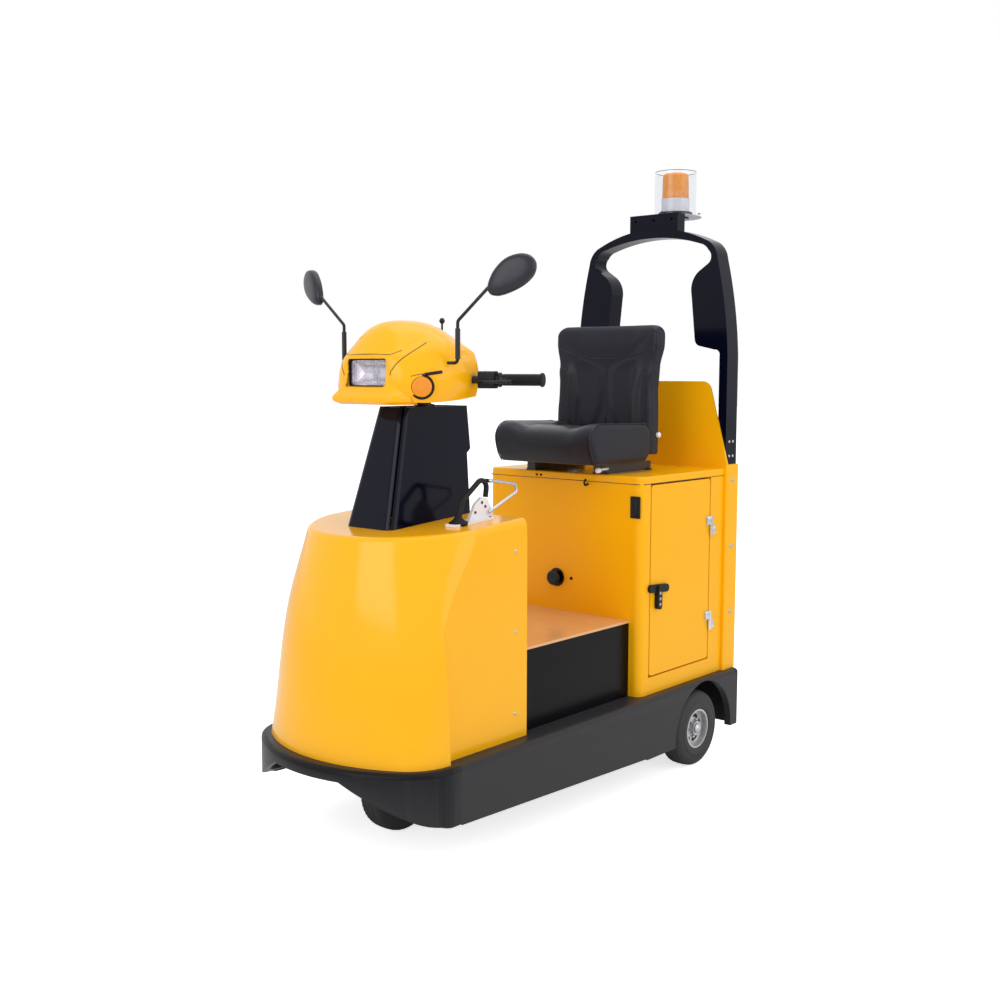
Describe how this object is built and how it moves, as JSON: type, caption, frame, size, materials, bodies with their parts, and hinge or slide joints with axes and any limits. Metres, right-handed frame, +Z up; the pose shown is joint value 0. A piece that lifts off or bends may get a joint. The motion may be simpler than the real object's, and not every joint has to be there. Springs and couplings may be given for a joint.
{
  "type": "airport baggage tractor",
  "caption": "Ride-on electric tow tractor with a moulded nose, handlebar steering, a seat on a battery cabinet, a roll bar and a beacon.",
  "frame": {"origin": "on the floor, at the middle of the bounding box in plan", "axes": "+X towards the machine's left side, +Y towards its rear, +Z up"},
  "size_m": [0.9474, 1.888, 2.051],
  "materials": {
    "body_yellow": "gloss orange-yellow paint",
    "skirt_dark": "satin dark blue-grey paint",
    "frame_black": "black paint",
    "gloss_black": "gloss blue-black",
    "matte_black": "matte black plastic",
    "cowl_yellow": "gloss orange-yellow plastic",
    "grip_rubber": "black rubber",
    "seat_vinyl": "black vinyl",
    "tyre_black": "tyre rubber",
    "rim_silver": "silver rim",
    "bright_steel": "bright steel",
    "hinge_chrome": "chrome",
    "lamp_clear": "clear lamp glass",
    "lens_amber": "amber lens",
    "base_white": "white plastic",
    "mirror_shell": "black mirror housing",
    "floor_plate": "painted floor plate",
    "plate_grey": "grey paint",
    "guard_clear": "clear plastic",
    "cast_dark": "dark cast iron"
  },
  "bodies": {
    "chassis": {"front_bumper": "skirt_dark", "side_sills": "skirt_dark", "rear_apron": "skirt_dark", "chassis_deck": "skirt_dark", "chassis_rails": "frame_black", "nose_shell": "body_yellow", "dash_panel": "body_yellow", "floor_plate": "floor_plate", "floor_risers": "skirt_dark", "cabinet": "body_yellow", "seat_deck": "body_yellow", "corner_posts": "body_yellow", "rear_panel": "body_yellow", "bulkhead": "body_yellow", "post_hinges": "hinge_chrome", "battery": "cast_dark", "stop_button": "matte_black", "seat_slides": "bright_steel", "seat_cushion": "seat_vinyl", "seat_back": "seat_vinyl", "roll_bar": "gloss_black", "beacon_bracket": "frame_black", "beacon_plate": "plate_grey", "beacon_guard": "guard_clear", "beacon_base": "base_white", "beacon_lens": "lens_amber", "column_cover": "gloss_black", "head_tube": "frame_black", "drive_axle": "cast_dark", "tow_hitch": "frame_black", "tow_pin": "bright_steel", "brake_bracket": "base_white", "brake_lever": "bright_steel", "brake_hoop": "matte_black"},
    "steering": {"front_fork": "frame_black", "steer_stem": "frame_black", "handlebar": "frame_black", "grips": "grip_rubber", "switch_blocks": "matte_black", "head_cowl": "cowl_yellow", "headlamp": "lamp_clear", "indicators": "lens_amber", "mirror_stems": "frame_black", "mirror_heads": "mirror_shell", "direction_lever": "frame_black"},
    "door_leaf": {"door": "body_yellow", "door_hinges": "hinge_chrome", "door_latch": "matte_black"},
    "front_wheel": {"front_tyre": "tyre_black", "front_rim": "rim_silver"},
    "rear_wheel_left": {"rear_left_tyre": "tyre_black", "rear_left_rim": "rim_silver"},
    "rear_wheel_right": {"rear_right_tyre": "tyre_black", "rear_right_rim": "rim_silver"}
  },
  "joints": [
    {"name": "steering_turn", "type": "hinge", "parent": "chassis", "child": "steering", "pos_m": [0, -0.451, 1.306], "axis": [0, 0.1392, 0.9903], "range_deg": [-40, 40]},
    {"name": "front_wheel_spin", "type": "hinge", "parent": "steering", "child": "front_wheel", "pos_m": [0, -0.57356, 0.128], "axis": [1, 0, 0], "continuous": true},
    {"name": "rear_wheel_left_spin", "type": "hinge", "parent": "chassis", "child": "rear_wheel_left", "pos_m": [0.316, 0.494, 0.128], "axis": [1, 0, 0], "continuous": true},
    {"name": "rear_wheel_right_spin", "type": "hinge", "parent": "chassis", "child": "rear_wheel_right", "pos_m": [-0.316, 0.494, 0.128], "axis": [1, 0, 0], "continuous": true},
    {"name": "door_swing", "type": "hinge", "parent": "chassis", "child": "door_leaf", "pos_m": [0.326, 0.6015, 0.66], "axis": [0, 0, 1], "range_deg": [0, 120]}
  ]
}
